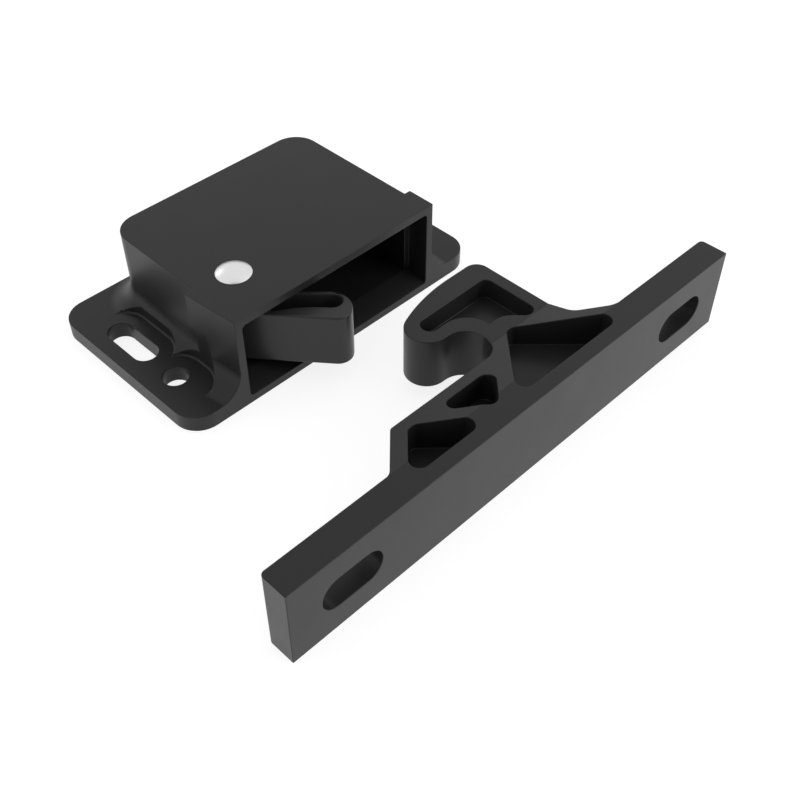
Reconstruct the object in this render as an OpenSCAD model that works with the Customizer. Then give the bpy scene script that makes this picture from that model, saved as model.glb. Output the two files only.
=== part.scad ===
// Grabber catch for a cabinet or lorry locker door: a surface-mounted housing with a
// swinging pawl, and the separate keeper whose hook the pawl grabs. Millimetres, +Z up.
// The origin lies on the base plane, midway between the two round screw holes of the ears.
// +Y points into the housing, and the keeper comes in from -Y.

/* [Base plate] */
// Depth of the base plate, front to back
base_w = 41; // [39.5:0.5:46]
// Thickness of the ears
base_t = 3.35; // [2.8:0.05:4]
// Radius of the plate's corners
base_r = 5; // [3:0.5:6]
// Distance from the screw holes to the ends of the plate
ear_end = 5.5; // [5:0.1:8]

/* [Housing] */
// Height of the housing over the base plane
body_h = 19.6; // [19:0.1:24]
// Distance from the centre line to the left side wall
body_left = 23.1; // [23:0.1:24]
// Distance from the centre line to the right side wall
body_right = 22.2; // [22:0.1:24]
// Distance from the front face to the rear wall's outer face
body_back = 36.5; // [35:0.5:38]
// Radius of the housing's rear corners in plan
body_r = 5; // [3:0.5:6]
// Thickness of the side and rear walls
wall = 1.4; // [1.2:0.05:2]
// Thickness of the cavity's floor and of its roof
floor_t = 3.05; // [2.6:0.05:3.2]
// Radius of the hollow flare between the walls and the ears
flare_r = 5.2; // [4:0.1:5.6]

/* [Front frame] */
// Distance from the centre line to the frame's left side at the front face
frame_left = 23.75; // [23.6:0.05:24.2]
// How much the frame's left side leans outwards over its depth
frame_lean = 1.2; // [0.6:0.05:1.3]
// Depth of the frame on the left, where the pawl pivots
frame_left_d = 11.8; // [11:0.1:13]
// Distance from the centre line to the frame's right side
frame_right = 23.55; // [23.5:0.05:24.5]
// Depth of the frame on the right
frame_right_d = 6.05; // [5.5:0.05:8]
// Width of the frame's rim round the mouth, left and right
rim_side = 1.55; // [1.3:0.05:1.7]
// Width of the frame's rim round the mouth, top and bottom
rim_top = 1.65; // [1.4:0.05:1.9]
// Radius of the mouth's corners
mouth_r = 0.8; // [0.4:0.1:1.2]

/* [Ear holes] */
// Distance between the left and the right screw holes
hole_span = 59; // [58.5:0.1:60]
// Distance from the front face to the round holes
hole_setback = 12; // [11:0.5:12.5]
// Diameter of the round holes and width of the slots
hole_d = 4.8; // [4:0.1:5]
// Distance from the round holes to the middle of the slots
slot_offset = 12.8; // [12.5:0.1:13.2]
// Length of the slots, end to end
slot_l = 12.4; // [10:0.1:13]
// Radius of the flat seats sunk round the screw holes
seat_r = 5.5; // [5:0.1:5.7]
// Radius of the round at the foot of the seats
seat_round = 0.45; // [0.2:0.05:0.8]
// How far the front seat runs on towards the front face
seat_run = 2.6; // [1:0.1:3]
// Height up to which the front seat is sunk into the frame's side
seat_top = 12.4; // [9:0.1:14]

/* [Pawl] */
// Distance from the centre line to the pivot, to the left
pivot_x = 15.3; // [15:0.05:15.6]
// Distance from the front face to the pivot
pivot_y = 10.45; // [10:0.05:11]
// Distance from the pivot to the tip of the arm
arm_reach = 20.9; // [19:0.1:21]
// Distance from the pivot to the arm's front face, which is the hub's radius
hub_r = 5.7; // [5.4:0.1:5.8]
// Distance from the pivot to the back of the arm at its tip
arm_back = 1.95; // [1.6:0.05:2.2]
// Height of the arm
arm_h = 10.85; // [9:0.05:12]
// Radius of the arm's front corner
tip_front_r = 2.8; // [2:0.1:3]
// Radius of the arm's back corner
tip_back_r = 4.3; // [3.5:0.1:4.4]
// Angle of the open arm from the front face's direction
open_angle = 50.2; // [48:0.1:52]
// Swing of the pawl from open to closed
swing = 50; // [40:1:52]
// Thickness of the arm's back wall beside the moulded pocket
arm_wall = 0.75; // [0.6:0.05:1]
// Thickness of the arm's end beyond the pocket
arm_end = 2.05; // [1.6:0.05:2.6]
// Thickness of the web between the upper and the lower pocket
arm_web = 1.6; // [1.2:0.1:3]

/* [Rivet] */
// Diameter of the rivet's shank
rivet_d = 4; // [3.2:0.1:4.4]
// Diameter of the domed head
rivet_head_d = 6.7; // [6.2:0.1:7.4]
// Height of the domed head
rivet_head_h = 1.1; // [0.8:0.1:1.6]
// Diameter of the end formed over inside the base
rivet_tail_d = 5.8; // [5.2:0.1:6.2]
// Running clearance round the shank, on the radius
rivet_gap = 0.05; // [0.02:0.01:0.1]

/* [Toggle spring] */
// Diameter of the spring wire
wire_d = 1; // [0.8:0.1:1.2]
// Mean radius of the spring's coil
coil_r = 3; // [2.6:0.1:3.2]
// Number of turns between the two legs
coil_turns = 2; // [2:1:3]
// Distance from the pivot to the spring's eye in the pawl
eye_r = 8.6; // [8.2:0.1:8.7]
// Distance from the pivot to the spring's anchor in the housing
anchor_reach = 20; // [19.5:0.1:20.5]
// Distance from the line between eye and anchor to the coil's middle
coil_out = 6; // [5:0.1:7]

/* [Keeper] */
// Length of the keeper's bar
bar_l = 105.3; // [98:0.1:120]
// Thickness of the bar
bar_t = 5.55; // [5:0.05:6.5]
// Height of the bar
bar_h = 16.5; // [16:0.1:19]
// Height of the hook
hook_h = 10.5; // [9:0.1:11]
// Distance from the mounting face to the crown of the hook
hook_reach = 33.1; // [32:0.05:34]
// Distance from the mounting face to where the wedge ends and the hook's flat starts
wedge_reach = 15.9; // [15:0.1:17]
// Distance from the bar's middle to the hook's straight side
hook_side = 22.05; // [21.5:0.05:22.3]
// Distance from the bar's middle to the tip of the hook, to the left
nose_x = 1.6; // [1:0.1:2]
// Distance from the mounting face to the ledge that pushes the pawl
ledge_y = 13.75; // [13.5:0.05:14.2]
// Width of the recess that the pawl's tip swings into
recess_w = 8.85; // [8.6:0.05:9]
// Distance from the bar's middle to the end of the recess
recess_x = 7.5; // [7:0.05:7.8]
// Distance from the bar's middle to the left end of the ledge
ledge_x = 19.3; // [19:0.1:24]
// Distance from the mounting face to where the brace meets the hook's straight side
brace_top = 10.65; // [10:0.05:12]
// Distance from the bar's middle to the foot of the V of ribs, to the left
v_foot_x = 5.1; // [4.8:0.1:5.4]
// Thickness of the ribs between the pockets
rib = 2.75; // [2.4:0.05:3]
// Thickness of the web between the upper and the lower pockets
web_t = 2.3; // [1.8:0.1:3]
// Distance between the keeper's two screw slots
bar_slot_span = 80.7; // [78:0.1:86]
// Length of the keeper's screw slots
bar_slot_l = 12; // [10:0.1:14]
// Width of the keeper's screw slots
bar_slot_w = 6.4; // [4.5:0.1:7]
// Distance from the housing's front face back to the keeper's mounting face
keeper_stand_off = 45; // [44:0.5:60]
// Shift of the keeper's middle from the housing's centre line
keeper_shift = 0.7; // [0:0.1:1]

/* [Hidden] */

$fn = 64;
arc_miss = 0.01;
eps = 0.01;
sink = 0.03;
plastic = [0.045, 0.045, 0.048];
steel = [0.8, 0.8, 0.8];

// Base plate
base_l = hole_span + 2 * ear_end;
bay_wall = 0.6;

// Mouth and cavity
lead_slope = (floor_t - rim_top) / (frame_right_d - wall);
lead_d = frame_right_d - wall;
cavity_low = floor_t;
cavity_high = body_h - floor_t;
cavity_mid = body_h / 2;
cavity_back = body_back - wall;
inner_left = body_left - wall;
inner_right = body_right - wall;
bay_left = min(frame_left + frame_lean - wall, hole_span / 2 - seat_r - bay_wall);

// Pawl
arm_lift = 0.17;
arm_mid = cavity_mid + arm_lift;
arm_low = arm_mid - arm_h / 2;
arm_root_back = 0.75;
hub_gap = 0.2;
boss_r = 3.9;
pocket_end_r = 1.75;
pocket_sweep_r = 27;
pocket_start = 5.4;
pocket_end_x = arm_reach - arm_end - pocket_end_r;
back_slope = (arm_back - arm_root_back) / (arm_reach - hub_r);
pocket_end_y = arm_root_back + back_slope * (pocket_end_x - hub_r) - arm_wall - pocket_end_r;
lug_r = 2.1;
lug_h = 4.4;
lug_angle = 90 - swing / 2 + open_angle;

// Toggle spring
pin_gap = 0.15;
anchor_w = 4.4;
leg_drop = lug_h / 2 + 0.4;
anchor_top = cavity_mid - leg_drop + 1.6;
stop_r = 1.2;
stop_gap = 0.25;

// Keeper
bar_wall = 2.85;
bar_end_r = 0.9;
outer_wall = 2.5;
crown_wall = 4.6;
side_wall = 2.55;
nose_wall = 3.15;
recess_wall = 3.1;
pocket_r = 1.7;
brace_t = 3.1;
v_foot_y = 1.8;
nose_r = 4.1;
nose_at = [nose_r - nose_x, ledge_y + recess_w + nose_r];
crown_x = 14.5;
crown_rise = hook_reach - nose_at.y;
crown_r = (pow(crown_x - nose_at.x, 2) + pow(crown_rise, 2) - pow(nose_r, 2)) / (2 * (crown_rise - nose_r));
crown_at = [crown_x, hook_reach - crown_r];
crown_end = atan2(nose_at.y - crown_at.y, nose_at.x - crown_at.x);

function unit(v) = v / norm(v);

// Points of an arc about a centre, close enough to miss the true arc by no more than arc_miss
function arc(centre, r, from, to) =
    let (steps = ceil(abs(to - from) / (2 * acos(1 - arc_miss / r))))
    [for (i = [0:steps]) centre + r * [cos(from + (to - from) * i / steps), sin(from + (to - from) * i / steps)]];

// Points that stay as they are within a rounded outline
function sharp(points) = [for (p = points) [p.x, p.y, 0]];

// Corner where the lines x + y = sum and y - x = difference cross
function crossing(sum, difference) = [(sum - difference) / 2, (sum + difference) / 2];

// Arc of radius r that rounds corner b between its neighbours a and c
function corner_arc(a, b, c, r) =
    r == 0 ? [b] :
    let (
        u = unit(a - b),
        w = unit(c - b),
        half = acos(u * w) / 2,
        centre = b + unit(u + w) * r / sin(half),
        from = b + u * r / tan(half) - centre,
        to = b + w * r / tan(half) - centre,
        start = atan2(from.y, from.x),
        turn = (atan2(to.y, to.x) - start + 540) % 360 - 180
    )
    arc(centre, r, start, start + turn);

// Flat shape with rounded corners, each given as [x, y, radius]
module plan(corners) {
    n = len(corners);
    at = function (i) [corners[i % n].x, corners[i % n].y];
    polygon([for (i = [0:n - 1]) each corner_arc(at(i + n - 1), at(i), at(i + 1), corners[i][2])]);
}

// Rectangle with rounded corners, from one corner to the opposite one
module round_rect(low, high, r) {
    translate([low.x + r, low.y]) square([high.x - low.x - 2 * r, high.y - low.y]);
    translate([low.x, low.y + r]) square([high.x - low.x, high.y - low.y - 2 * r]);
    for (x = [low.x + r, high.x - r], y = [low.y + r, high.y - r]) translate([x, y]) circle(r = r);
}

// Moves the children up to low, and makes them high - low thick
module layer(low, high) translate([0, 0, low]) linear_extrude(high - low) children();

// A profile given in Y and Z, carried along X from x0 to x1
module along_x(x0, x1) translate([x0, 0, 0]) rotate([90, 0, 90]) linear_extrude(x1 - x0) children();

module placed() translate([0, -hole_setback, 0]) children();

// Quarter-round hollow between a wall at x = 0 and the plate's top at y = 0
module flare_profile() {
    difference() {
        translate([-wall / 2, -base_t / 2]) square([flare_r + wall / 2 - sink, flare_r + base_t / 2]);
        translate([flare_r - sink, flare_r - sink]) circle(flare_r);
    }
}

// A straight flare along +Y from the origin, its foot pointing to -X
module flare_run(length) {
    mirror([1, 0, 0]) translate([0, length, 0]) rotate([90, 0, 0]) linear_extrude(length) flare_profile();
}

// A quarter of a flare round a rear corner of the body, swept about the corner's axis
module flare_corner(start) {
    rotate([0, 0, start]) rotate_extrude(angle = 90) translate([body_r, 0]) flare_profile();
}

module flares() {
    lean = atan(frame_lean / frame_left_d);
    intersection() {
        translate([-base_l / 2, 0, 0]) cube([base_l, base_w, body_h]);
        translate([0, 0, base_t]) union() {
            intersection() {
                translate([-frame_left, 0, 0]) rotate([0, 0, lean])
                    translate([0, -base_r, 0]) flare_run(frame_left_d + 2 * base_r);
                translate([-base_l, 0, -base_t]) cube([base_l, frame_left_d, body_h]);
            }
            translate([-body_left, frame_left_d - eps, 0]) flare_run(body_back - body_r - frame_left_d + eps);
            mirror([1, 0, 0]) translate([-frame_right, 0, 0]) flare_run(frame_right_d);
            mirror([1, 0, 0]) translate([-body_right, frame_right_d - eps, 0])
                flare_run(body_back - body_r - frame_right_d + eps);
            translate([body_r - body_left, body_back, 0]) rotate([0, 0, -90])
                flare_run(body_left + body_right - 2 * body_r);
            translate([body_r - body_left, body_back - body_r, 0]) flare_corner(90);
            translate([body_right - body_r, body_back - body_r, 0]) flare_corner(0);
        }
    }
}

module housing_shell() {
    layer(0, base_t) round_rect([-base_l / 2, 0], [base_l / 2, base_w], base_r);
    layer(0, body_h) {
        round_rect([-body_left, 0], [body_right, body_back], body_r);
        polygon([[-frame_left, 0], [frame_right, 0], [frame_right, frame_right_d], [0, frame_right_d],
                 [0, frame_left_d], [-frame_left - frame_lean, frame_left_d]]);
    }
    flares();
}

// The mouth narrows from the rim to the cavity's height, as a lead-in for the keeper's wedge
module mouth() {
    intersection() {
        along_x(-frame_left + rim_side, frame_right - rim_side)
            polygon([[-1, rim_top - lead_slope], [lead_d, cavity_low], [lead_d, cavity_high],
                     [-1, body_h - rim_top + lead_slope]]);
        translate([0, lead_d + 1, 0]) rotate([90, 0, 0]) linear_extrude(lead_d + 2)
            round_rect([-frame_left + rim_side, rim_top], [frame_right - rim_side, body_h - rim_top], mouth_r);
    }
}

// The cavity, with a bay on the left for the pawl's hub, as deep as the frame there
module cavity() {
    layer(cavity_low, cavity_high) {
        round_rect([-inner_left, lead_d - eps], [inner_right, cavity_back], body_r - wall);
        translate([-inner_left, lead_d - eps]) square([inner_left + inner_right, body_r]);
        polygon([[-frame_left + rim_side, lead_d / 2], [0, lead_d / 2], [0, frame_left_d - wall],
                 [-bay_left, frame_left_d - wall]]);
    }
}

// Flat seat of radius seat_r, with a rounded foot, drawn out along Y by length
module seat_cutter(length) {
    module section() {
        difference() {
            square([seat_r, seat_top - base_t]);
            difference() {
                translate([seat_r - seat_round, 0]) square(seat_round);
                translate([seat_r - seat_round, seat_round]) circle(seat_round);
            }
        }
    }
    for (end = [0, length]) translate([0, end, base_t]) rotate_extrude() section();
    for (side = [0, 1]) mirror([side, 0, 0])
        translate([0, length, base_t]) rotate([90, 0, 0]) linear_extrude(length) section();
}

// Through slot of width w and end-to-end length l along Y, centred on the origin
module slot_cutter(w, l, depth) {
    for (end = [-1, 1]) translate([0, end * (l - w) / 2, -1]) cylinder(d = w, h = depth + 2);
    translate([-w / 2, -(l - w) / 2, -1]) cube([w, l - w, depth + 2]);
}

module ear_cuts() {
    for (side = [-1, 1]) translate([side * hole_span / 2, 0, 0]) {
        translate([0, hole_setback, -1]) cylinder(d = hole_d, h = base_t + 2);
        translate([0, hole_setback + slot_offset, 0]) slot_cutter(hole_d, slot_l, base_t);
        translate([0, hole_setback - seat_run, 0]) seat_cutter(seat_run);
        translate([0, hole_setback + slot_offset - (slot_l - hole_d) / 2, 0]) seat_cutter(slot_l - hole_d);
    }
}

// Places a child on the pivot's axis
module at_pivot() translate([-pivot_x, pivot_y, 0]) children();

module rivet_hole() {
    at_pivot() {
        translate([0, 0, -1]) cylinder(d = rivet_d + 2 * rivet_gap, h = body_h + 2);
        translate([0, 0, -1]) cylinder(d = rivet_tail_d + 0.6, h = 1 + rivet_head_h + 0.3);
    }
}

// Boss on the rear wall with the blind hole that anchors the spring's rear leg
module spring_anchor() {
    at_pivot() difference() {
        translate([0, anchor_reach, floor_t - eps]) union() {
            cylinder(d = anchor_w, h = anchor_top - floor_t + eps);
            translate([-anchor_w / 2, 0, 0])
                cube([anchor_w, cavity_back - pivot_y - anchor_reach + wall / 2, anchor_top - floor_t + eps]);
        }
        translate([0, anchor_reach, floor_t + 0.5]) cylinder(d = wire_d + 2 * pin_gap, h = body_h);
    }
}

// Post that the pawl's spring lug stops against when the pawl is open
module open_stop() {
    angle = lug_angle - open_angle;
    at_pivot() rotate([0, 0, angle]) translate([eye_r, -lug_r - stop_gap - stop_r, cavity_low - eps])
        cylinder(r = stop_r, h = cavity_mid + lug_h / 2 - cavity_low + eps);
}

module housing() {
    color(plastic) placed() {
        difference() {
            housing_shell();
            mouth();
            cavity();
            ear_cuts();
            rivet_hole();
        }
        spring_anchor();
        open_stop();
    }
}

// Outline of the hub and the arm, the arm along +X
module pawl_outline() {
    circle(r = hub_r);
    plan([[0, -hub_r, 0], [arm_reach, -hub_r, tip_front_r], [arm_reach, arm_back, tip_back_r],
          [hub_r - 0.4, arm_root_back, 0], [0, arm_root_back, 0]]);
}

// Outline of the moulded pocket, which widens from the tip towards the hub
module pawl_pocket() {
    sweep_at = [pocket_end_x, pocket_end_y - pocket_end_r - pocket_sweep_r];
    sweep_end = 90 + asin((pocket_end_x - pocket_start) / pocket_sweep_r);
    front = arc(sweep_at, pocket_sweep_r, sweep_end, 90);
    plan(concat(
        [[front[0].x, front[0].y, 0.8]],
        sharp([for (i = [1:len(front) - 1]) front[i]]),
        sharp(arc([pocket_end_x, pocket_end_y], pocket_end_r, -80, 90)),
        [[pocket_start, arm_root_back - arm_wall, 1]]
    ));
}

module spring_lug() {
    rotate([0, 0, lug_angle]) translate([0, 0, cavity_mid - lug_h / 2]) difference() {
        union() {
            translate([eye_r, 0, 0]) cylinder(r = lug_r, h = lug_h);
            translate([0, -lug_r, 0]) cube([eye_r, 2 * lug_r, lug_h]);
        }
        translate([eye_r, 0, -1]) cylinder(d = wire_d + 2 * pin_gap, h = lug_h + 2);
    }
}

module pawl() {
    color(plastic) placed() at_pivot() rotate([0, 0, -open_angle]) {
        difference() {
            union() {
                translate([0, 0, arm_low]) linear_extrude(arm_h) pawl_outline();
                translate([0, 0, cavity_low + hub_gap])
                    cylinder(r = boss_r, h = cavity_high - cavity_low - 2 * hub_gap);
                spring_lug();
            }
            translate([0, 0, -1]) cylinder(d = rivet_d + 2 * rivet_gap, h = body_h);
            for (low = [arm_low - 1, arm_mid + arm_web / 2])
                translate([0, 0, low]) linear_extrude(arm_h / 2 - arm_web / 2 + 1) pawl_pocket();
        }
    }
}

module rivet() {
    dome_r = (pow(rivet_head_d / 2, 2) + pow(rivet_head_h, 2)) / (2 * rivet_head_h);
    tail_h = rivet_head_h;
    color(steel) placed() at_pivot() {
        translate([0, 0, body_h]) rotate_extrude() intersection() {
            translate([0, rivet_head_h - dome_r]) circle(r = dome_r, $fn = 180);
            square([rivet_head_d / 2, rivet_head_h]);
        }
        translate([0, 0, tail_h]) cylinder(d = rivet_d, h = body_h - tail_h);
        cylinder(d1 = rivet_tail_d - 0.8, d2 = rivet_tail_d, h = 0.4);
        translate([0, 0, 0.4]) cylinder(d = rivet_tail_d, h = tail_h - 0.4 + 0.3);
    }
}

// Centre line of the toggle spring: a leg down into the pawl's eye, the coil, and the
// leg down into the housing's anchor
function spring_path() =
    let (
        eye = eye_r * [cos(lug_angle - open_angle), sin(lug_angle - open_angle)],
        anchor = [0, anchor_reach],
        along = unit(anchor - eye),
        out = [along.y, -along.x],
        centre = (eye + anchor) / 2 + out * coil_out,
        reach = norm(eye - centre),
        spread = acos(coil_r / reach),
        eye_dir = atan2(eye.y - centre.y, eye.x - centre.x),
        anchor_dir = atan2(anchor.y - centre.y, anchor.x - centre.x),
        start = eye_dir + spread,
        sweep = (anchor_dir - spread - start - 720) % 360 - 360 * (coil_turns - 1),
        steps = ceil(abs(sweep) / 20),
        pitch = 1.15 * wire_d,
        rise = pitch * abs(sweep) / 360,
        top = cavity_mid + leg_drop + rise / 2,
        at = function (p, z) [p.x, p.y, z]
    )
    concat(
        [at(eye, cavity_mid - lug_h / 2 + 0.3), at(eye, top - 0.5)],
        [at(eye + 0.5 * unit(centre - eye), top)],
        [for (i = [0:steps]) at(centre + coil_r * [cos(start + sweep * i / steps),
                                                   sin(start + sweep * i / steps)],
                                top - rise * i / steps)],
        [at(anchor + 0.5 * unit(centre - anchor), top - rise), at(anchor, top - rise - 0.5)],
        [at(anchor, floor_t + 0.8)]
    );

// Round wire of radius r swept along the points of path
module wire(path, r, sides = 8) {
    n = len(path);
    tangent = [for (i = [0:n - 1]) unit(path[min(i + 1, n - 1)] - path[max(i - 1, 0)])];
    side_ref = [for (t = tangent) abs(t.z) > 0.9 ? [1, 0, 0] : [0, 0, 1]];
    rings = [for (i = [0:n - 1])
        let (a = unit(cross(tangent[i], side_ref[i])), b = cross(tangent[i], a))
        for (k = [0:sides - 1]) path[i] + r * (cos(360 * k / sides) * a + sin(360 * k / sides) * b)];
    walls = [for (i = [0:n - 2], k = [0:sides - 1])
        let (next = (k + 1) % sides)
        [i * sides + k, i * sides + next, (i + 1) * sides + next, (i + 1) * sides + k]];
    polyhedron(rings, concat(walls, [[for (k = [sides - 1:-1:0]) k]],
                             [[for (k = [0:sides - 1]) (n - 1) * sides + k]]), convexity = 6);
}

module toggle_spring() {
    color(steel) placed() at_pivot() wire(spring_path(), wire_d / 2);
}

// Outline of the bar and the hook, with the mounting face on y = 0 and the bar's middle on x = 0
module keeper_outline() {
    recess_r = recess_w / 2 - 0.02;
    plan(concat(
        [[-bar_l / 2, 0, 0], [bar_l / 2, 0, 0], [bar_l / 2, bar_t, bar_end_r],
         [hook_side + brace_top - bar_t, bar_t, 3.5], [hook_side, brace_top, 3],
         [hook_side, hook_reach, 2.6]],
        sharp(arc(crown_at, crown_r, 90, crown_end)),
        [[nose_at.x, nose_at.y, 0], [nose_at.x, nose_at.y - nose_r, 0],
         [recess_x, ledge_y + recess_w, recess_r], [recess_x, ledge_y, recess_r],
         [-ledge_x, ledge_y, 1], [-ledge_x - ledge_y + bar_t, bar_t, 2.5],
         [-bar_l / 2, bar_t, bar_end_r]]
    ));
    translate(nose_at) circle(r = nose_r);
}

// Height of the keeper over its depth: the bar, the wedge and the flat hook
module keeper_profile() {
    mid = bar_h / 2;
    low = mid - hook_h / 2;
    polygon([[0, 0], [bar_t, 0], [wedge_reach, low], [hook_reach + 1, low],
             [hook_reach + 1, bar_h - low], [wedge_reach, bar_h - low], [bar_t, bar_h], [0, bar_h]]);
}

// The four moulded pockets, between ribs that run at 45 degrees
module keeper_pockets() {
    slant = sqrt(2);
    shoulder = ledge_y + ledge_x - rib * slant;
    v_left = v_foot_y - v_foot_x;
    v_right = v_foot_y + v_foot_x;
    brace = hook_side + brace_top - outer_wall * slant;
    half_rib = rib / slant;
    left_apex = crossing(v_left - half_rib, shoulder);
    plan([[bar_wall - shoulder, bar_wall, pocket_r], [v_left - half_rib - bar_wall, bar_wall, pocket_r],
          [left_apex.x, left_apex.y, pocket_r]]);
    v_apex = crossing(v_left + half_rib, v_right + half_rib);
    v_top = ledge_y - outer_wall;
    plan([[v_apex.x, v_apex.y, pocket_r], [v_top - v_right - half_rib, v_top, pocket_r],
          [v_left + half_rib - v_top, v_top, pocket_r]]);
    right_apex = crossing(brace, v_right - half_rib);
    plan([[bar_wall - v_right + half_rib, bar_wall, pocket_r], [brace - bar_wall, bar_wall, pocket_r],
          [right_apex.x, right_apex.y, pocket_r]]);
    side = hook_side - side_wall;
    hook_low = right_apex.y + side_wall;
    hook_brace = brace + brace_t * slant;
    hollow_low = ledge_y + recess_w + outer_wall;
    hollow_r = hollow_low - hook_low - 0.3;
    plan([[side, hook_reach - crown_wall, 1.5], [nose_wall - nose_x, hook_reach - crown_wall, 1.6],
          [nose_wall - nose_x, hollow_low, 1.6], [recess_x + recess_wall, hollow_low, hollow_r],
          [recess_x + recess_wall, hook_low, 0.2], [hook_brace - hook_low, hook_low, 3.5],
          [side, hook_brace - side, 1.6]]);
}

module keeper() {
    color(plastic) placed() translate([keeper_shift, -keeper_stand_off, 0]) difference() {
        intersection() {
            linear_extrude(bar_h) keeper_outline();
            along_x(-bar_l / 2 - 1, bar_l / 2 + 1) keeper_profile();
        }
        for (low = [-1, bar_h / 2 + web_t / 2])
            translate([0, 0, low]) linear_extrude(bar_h / 2 - web_t / 2 + 1) keeper_pockets();
        for (side = [-1, 1]) translate([side * bar_slot_span / 2, bar_t, bar_h / 2])
            rotate([90, 0, 0]) rotate([0, 0, 90]) slot_cutter(bar_slot_w, bar_slot_l, bar_t);
    }
}

housing();
pawl();
rivet();
toggle_spring();
keeper();
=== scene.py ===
# A grabber catch: a surface-mounted housing with a swinging pawl, and its separate keeper.
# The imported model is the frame. Its pieces stay where they are, and get their edge rounds,
# their finish and the light here. Everything is in metres.
import math

import bpy
import numpy as np
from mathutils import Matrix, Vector

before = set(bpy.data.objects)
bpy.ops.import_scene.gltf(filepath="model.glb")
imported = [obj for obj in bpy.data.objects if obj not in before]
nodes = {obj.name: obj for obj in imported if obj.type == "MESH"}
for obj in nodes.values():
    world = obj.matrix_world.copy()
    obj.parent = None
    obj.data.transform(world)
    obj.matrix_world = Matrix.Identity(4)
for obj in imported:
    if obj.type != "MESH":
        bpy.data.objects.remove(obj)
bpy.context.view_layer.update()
MM = 0.001

# Camera
# It stands in front of the catch and to its left, and looks down at 45 degrees along +X and
# +Y, through a 50 mm lens. The place and the angles fit the photograph's edges.
CAMERA_AT = (-102.338 * MM, -129.097 * MM, 142.083 * MM)
CAMERA_TURN = math.radians(45.033)
CAMERA_DOWN = math.radians(45.404)
LENS = 50.47
SENSOR = 36
NEAREST = 5 * MM

camera_data = bpy.data.cameras.new("camera")
camera_data.lens = LENS
camera_data.sensor_width = SENSOR
camera_data.clip_start = NEAREST
camera = bpy.data.objects.new("camera", camera_data)
bpy.context.scene.collection.objects.link(camera)
camera.location = CAMERA_AT
camera.rotation_euler = (math.pi / 2 - CAMERA_DOWN, 0, -CAMERA_TURN)
bpy.context.scene.camera = camera

# Housing
# Injection moulded in black plastic, with the fine grain of a spark-eroded tool. Its edges are
# nearly sharp. A wider weld first closes the slivers where the flare meets the sunk seats.
BLACK = (0.02, 0.02, 0.0206, 1)
PLASTIC_IOR = 1.37
HOUSING_ROUGHNESS = 0.37
HOUSING_EDGE = 0.12 * MM
HOUSING_WELD = 0.06 * MM

# The grain: the size, depth and strength of its bumps, and patches of other roughness.
GRAIN = 0.18 * MM
GRAIN_DEPTH = 0.01 * MM
GRAIN_STRENGTH = 0.5
GRAIN_DETAIL = 3
PATCH = 6 * MM
PATCH_DETAIL = 2
PATCH_LOW = 0.3
PATCH_HIGH = 0.7
ROUGHNESS = 0.3
SPREAD = 0.02

# The mesh: its weld, the turn in degrees below which two faces are one, and the turns from
# which an edge is rounded or creased.
WELD = 0.001 * MM
FLAT = 0.3
SHARP = 32
SHALLOW = 14
ROUND_STEPS = 3
CREASE = 0.015 * MM
FACE_WEIGHT = 100


def new_group(name, inputs, outputs):
    """An empty shader node group with the named sockets, and its input and output nodes."""
    group = bpy.data.node_groups.new(name, "ShaderNodeTree")
    for socket, kind, value in inputs:
        item = group.interface.new_socket(socket, in_out="INPUT", socket_type=kind)
        item.default_value = value
    for socket, kind in outputs:
        group.interface.new_socket(socket, in_out="OUTPUT", socket_type=kind)
    return group, group.nodes.new("NodeGroupInput"), group.nodes.new("NodeGroupOutput")


def make_grain():
    """Fine moulded grain: a noise of the given size bumps the normal, and a second, larger
    noise varies the roughness by the given spread."""
    group, given, out = new_group(
        "moulded_grain",
        [
            ("Size", "NodeSocketFloat", GRAIN),
            ("Depth", "NodeSocketFloat", GRAIN_DEPTH),
            ("Roughness", "NodeSocketFloat", ROUGHNESS),
            ("Spread", "NodeSocketFloat", SPREAD),
        ],
        [("Normal", "NodeSocketVector"), ("Roughness", "NodeSocketFloat")],
    )
    add, link = group.nodes.new, group.links.new
    place = add("ShaderNodeTexCoord")
    scale = add("ShaderNodeMath")
    scale.operation = "DIVIDE"
    scale.inputs[0].default_value = 1
    link(given.outputs["Size"], scale.inputs[1])
    fine = add("ShaderNodeTexNoise")
    fine.inputs["Detail"].default_value = GRAIN_DETAIL
    link(place.outputs["Object"], fine.inputs["Vector"])
    link(scale.outputs[0], fine.inputs["Scale"])
    bump = add("ShaderNodeBump")
    bump.inputs["Strength"].default_value = GRAIN_STRENGTH
    link(given.outputs["Depth"], bump.inputs["Distance"])
    link(fine.outputs["Fac"], bump.inputs["Height"])
    link(bump.outputs["Normal"], out.inputs["Normal"])

    patches = add("ShaderNodeTexNoise")
    patches.inputs["Scale"].default_value = 1 / PATCH
    patches.inputs["Detail"].default_value = PATCH_DETAIL
    link(place.outputs["Object"], patches.inputs["Vector"])
    spread = add("ShaderNodeMapRange")
    spread.inputs["From Min"].default_value = PATCH_LOW
    spread.inputs["From Max"].default_value = PATCH_HIGH
    link(patches.outputs["Fac"], spread.inputs["Value"])
    for operation, end in (("SUBTRACT", "To Min"), ("ADD", "To Max")):
        limit = add("ShaderNodeMath")
        limit.operation = operation
        link(given.outputs["Roughness"], limit.inputs[0])
        link(given.outputs["Spread"], limit.inputs[1])
        link(limit.outputs[0], spread.inputs[end])
    link(spread.outputs["Result"], out.inputs["Roughness"])
    return group


grain = make_grain()


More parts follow.
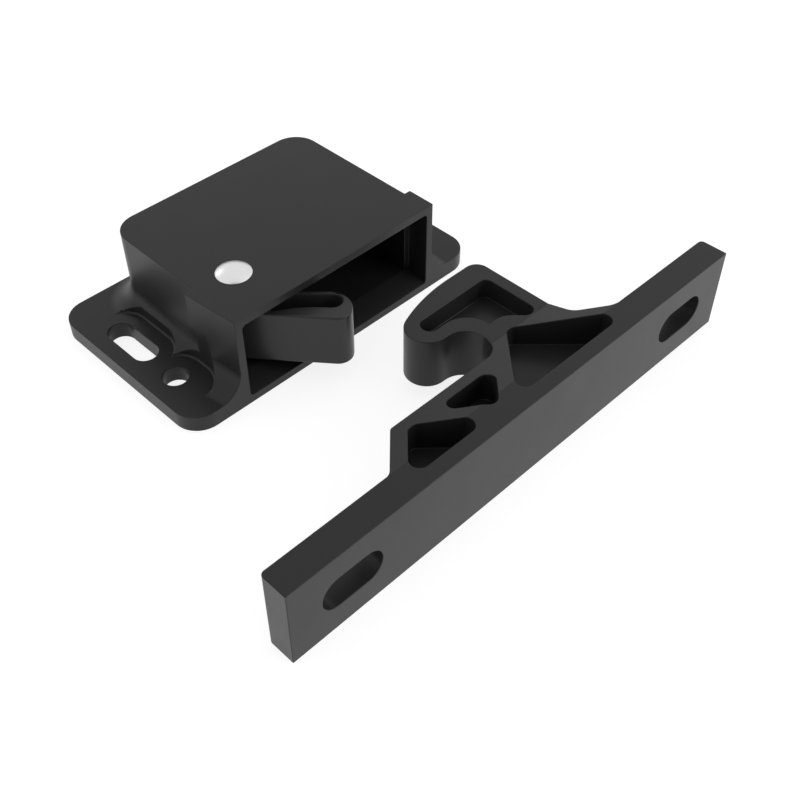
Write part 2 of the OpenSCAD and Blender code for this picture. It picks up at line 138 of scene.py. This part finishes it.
def grained(name, colour, roughness, depth):
    """A material with the grain's normal and roughness, and its shader."""
    material = bpy.data.materials.new(name)
    material.use_nodes = True
    tree = material.node_tree
    shader = tree.nodes["Principled BSDF"]
    shader.inputs["Base Color"].default_value = colour
    texture = tree.nodes.new("ShaderNodeGroup")
    texture.node_tree = grain
    texture.inputs["Depth"].default_value = depth
    texture.inputs["Roughness"].default_value = roughness
    for socket in ("Normal", "Roughness"):
        tree.links.new(texture.outputs[socket], shader.inputs[socket])
    return material, shader


def moulded(name, colour, roughness):
    """Black moulded plastic."""
    material, shader = grained(name, colour, roughness, GRAIN_DEPTH)
    shader.inputs["IOR"].default_value = PLASTIC_IOR
    return material


def round_edges(piece, name, width, segments, angle):
    """Adds a bevel of the given width to the edges that turn by more than angle."""
    bevel = piece.modifiers.new(name, "BEVEL")
    bevel.width = width
    bevel.segments = segments
    bevel.limit_method = "ANGLE"
    bevel.angle_limit = math.radians(angle)
    bevel.use_clamp_overlap = False
    bevel.miter_outer = "MITER_ARC"


def finish_node(name, material, edge, weld_gap=WELD):
    """Welds a CAD node's triangles, dissolves the flat ones, rounds the sharp edges with a
    radius of edge, parts the shallow ones by a hair so that each broad face shades flat, and
    gives the node its material. With an edge of 0 it rounds nothing."""
    piece = nodes[name]
    piece.data.materials.clear()
    piece.data.materials.append(material)
    piece.data.polygons.foreach_set("use_smooth", np.ones(len(piece.data.polygons), bool))
    weld = piece.modifiers.new("weld", "WELD")
    weld.merge_threshold = weld_gap
    flat = piece.modifiers.new("flat", "DECIMATE")
    flat.decimate_type = "DISSOLVE"
    flat.angle_limit = math.radians(FLAT)
    if edge:
        round_edges(piece, "edge_rounds", edge, ROUND_STEPS, SHARP)
        round_edges(piece, "creases", CREASE, 1, SHALLOW)
    normals = piece.modifiers.new("face_normals", "WEIGHTED_NORMAL")
    normals.mode = "FACE_AREA"
    normals.weight = FACE_WEIGHT
    return piece


housing_plastic = moulded("housing_plastic", BLACK, HOUSING_ROUGHNESS)
finish_node("housing", housing_plastic, HOUSING_EDGE, HOUSING_WELD)

# Pawl
# Moulded in black plastic. Its base colour is lighter than the other two parts': painted light
# that brightens its front face. The rounds of its edges are as wide as the thin wall beside its
# pocket allows.
PAWL_PAINTED_LIGHT_BLACK = (0.035, 0.035, 0.0358, 1)
PAWL_ROUGHNESS = 0.32
PAWL_EDGE = 0.35 * MM

finish_node("pawl", moulded("pawl_plastic_painted_light", PAWL_PAINTED_LIGHT_BLACK, PAWL_ROUGHNESS), PAWL_EDGE)

# Keeper
# Moulded in the housing's plastic. Its edges are a little rounder than the housing's, because
# it has no thin slivers beside them.
KEEPER_ROUGHNESS = 0.35
KEEPER_EDGE = 0.15 * MM

finish_node("keeper", moulded("keeper_plastic", BLACK, KEEPER_ROUGHNESS), KEEPER_EDGE)

# Rivet
# Bright satin aluminium with a low dome and a faint grain from forming. A thin black band of
# painted shade runs round the rim of its head, where it meets the housing.
RIVET_SHADE = 0.95
RIVET_ROUGHNESS = 0.32
RIVET_EDGE = 0.08 * MM
HEAD_H = 1.1 * MM
# Heights above the head's rim: the painted shade is black up to the first and fades to the
# rivet's shade by the second.
PAINTED_SHADE_FULL = 0.02 * MM
PAINTED_SHADE_END = 0.09 * MM
METAL_DEPTH = 0.002 * MM


def grey(shade):
    """An opaque grey."""
    return (shade, shade, shade, 1)


def metal(name, colour, roughness):
    """Bright metal."""
    material, shader = grained(name, colour, roughness, METAL_DEPTH)
    shader.inputs["Metallic"].default_value = 1
    return material


def add_painted_rim_shade(material, rim):
    """Paints shade into the base colour: black at the rim's height, turning to the rivet's
    shade just above.
    """
    tree = material.node_tree
    place = tree.nodes.new("ShaderNodeTexCoord")
    height = tree.nodes.new("ShaderNodeSeparateXYZ")
    painted_shade = tree.nodes.new("ShaderNodeMapRange")
    painted_shade.interpolation_type = "SMOOTHSTEP"
    painted_shade.inputs["From Min"].default_value = rim + PAINTED_SHADE_FULL
    painted_shade.inputs["From Max"].default_value = rim + PAINTED_SHADE_END
    painted_shade.inputs["To Max"].default_value = RIVET_SHADE
    tree.links.new(place.outputs["Object"], height.inputs["Vector"])
    tree.links.new(height.outputs["Z"], painted_shade.inputs["Value"])
    tree.links.new(painted_shade.outputs["Result"], tree.nodes["Principled BSDF"].inputs["Base Color"])


rivet_metal = metal("rivet_metal", grey(RIVET_SHADE), RIVET_ROUGHNESS)
rivet = finish_node("rivet", rivet_metal, RIVET_EDGE)
add_painted_rim_shade(rivet_metal, max(vertex.co.z for vertex in rivet.data.vertices) - HEAD_H)

# Toggle spring
# Drawn steel wire inside the housing. Its mesh is round already, so no edge is rounded.
SPRING_STEEL = (0.55, 0.55, 0.56, 1)
SPRING_ROUGHNESS = 0.3

finish_node("toggle_spring", metal("spring_steel", SPRING_STEEL, SPRING_ROUGHNESS), 0)

# Floor
# Matt white for the light. Rays that show it see a glow instead, which comes out as plain
# white and keeps the object's soft shadow.
FLOOR_SIZE = 2.0
FLOOR_WHITE = 0.9
FLOOR_SHADE = 0.3
FLOOR_GLOW = 0.84


def seen_rays(tree):
    """1 for rays that show the surface: from the camera, off gloss or through glass."""
    path = tree.nodes.new("ShaderNodeLightPath")
    seen = path.outputs["Is Camera Ray"]
    for ray in ("Is Glossy Ray", "Is Transmission Ray"):
        either = tree.nodes.new("ShaderNodeMath")
        either.operation = "MAXIMUM"
        tree.links.new(seen, either.inputs[0])
        tree.links.new(path.outputs[ray], either.inputs[1])
        seen = either.outputs[0]
    return seen


def floor_white():
    """Matt white, with a shaded glow for the rays that show it."""
    material = bpy.data.materials.new("floor_white")
    material.use_nodes = True
    tree = material.node_tree
    tree.nodes.clear()
    add, link = tree.nodes.new, tree.links.new
    matt = add("ShaderNodeBsdfDiffuse")
    matt.inputs["Color"].default_value = grey(FLOOR_WHITE)
    shown_matt = add("ShaderNodeBsdfDiffuse")
    shown_matt.inputs["Color"].default_value = grey(FLOOR_SHADE)
    glow = add("ShaderNodeEmission")
    glow.inputs["Strength"].default_value = FLOOR_GLOW
    shown = add("ShaderNodeAddShader")
    link(shown_matt.outputs[0], shown.inputs[0])
    link(glow.outputs[0], shown.inputs[1])
    mix = add("ShaderNodeMixShader")
    link(seen_rays(tree), mix.inputs["Fac"])
    link(matt.outputs[0], mix.inputs[1])
    link(shown.outputs[0], mix.inputs[2])
    link(mix.outputs[0], add("ShaderNodeOutputMaterial").inputs["Surface"])
    return material


half = FLOOR_SIZE / 2
floor_mesh = bpy.data.meshes.new("floor")
floor_mesh.from_pydata(
    [(-half, -half, 0), (half, -half, 0), (half, half, 0), (-half, half, 0)], [], [(0, 1, 2, 3)]
)
floor_mesh.materials.append(floor_white())
floor = bpy.data.objects.new("floor", floor_mesh)
bpy.context.scene.collection.objects.link(floor)

# Light
# A white sky with a dark patch behind the camera, which darkens the faces that look straight
# at it, and two soft lamps. The camera itself sees a white backdrop instead of the sky.
SKY = 0.76
DARK_INSIDE = 10
DARK_OUTSIDE = 35
LAMPS_AIM = (0, -0.02, 0)
# Each lamp's name, place, width and power.
LAMPS = [
    ("front", (0.3, -0.55, 0.27), 0.4, 1.2),
    ("back", (-0.03, 0.6, 0.28), 0.2, 0.1),
]


def studio_sky():
    """The white sky with its dark patch, and the backdrop that the camera sees."""
    world = bpy.data.worlds.new("studio")
    world.use_nodes = True
    tree = world.node_tree
    add, link = tree.nodes.new, tree.links.new
    sky = tree.nodes["Background"]
    sky.inputs["Strength"].default_value = SKY
    towards = add("ShaderNodeTexCoord")
    beside = add("ShaderNodeVectorMath")
    beside.operation = "DOT_PRODUCT"
    beside.inputs[1].default_value = tuple(Vector(CAMERA_AT).normalized())
    link(towards.outputs["Generated"], beside.inputs[0])
    patch = add("ShaderNodeMapRange")
    patch.interpolation_type = "SMOOTHSTEP"
    patch.inputs["From Min"].default_value = math.cos(math.radians(DARK_INSIDE))
    patch.inputs["From Max"].default_value = math.cos(math.radians(DARK_OUTSIDE))
    link(beside.outputs["Value"], patch.inputs["Value"])
    link(patch.outputs["Result"], sky.inputs["Color"])

    backdrop = add("ShaderNodeBackground")
    backdrop.inputs["Color"].default_value = grey(1)
    path = add("ShaderNodeLightPath")
    mix = add("ShaderNodeMixShader")
    link(path.outputs["Is Camera Ray"], mix.inputs["Fac"])
    link(sky.outputs[0], mix.inputs[1])
    link(backdrop.outputs[0], mix.inputs[2])
    link(mix.outputs[0], tree.nodes["World Output"].inputs["Surface"])
    return world


def softbox(name, at, size, power):
    """A square area lamp at a point, turned to face the catch."""
    lamp = bpy.data.lights.new(name, "AREA")
    lamp.size = size
    lamp.energy = power
    piece = bpy.data.objects.new(name, lamp)
    bpy.context.scene.collection.objects.link(piece)
    piece.location = at
    aim = Vector(LAMPS_AIM) - Vector(at)
    piece.rotation_euler = aim.to_track_quat("-Z", "Y").to_euler()


bpy.context.scene.world = studio_sky()
for lamp in LAMPS:
    softbox(*lamp)

bpy.context.scene.view_settings.view_transform = "Standard"
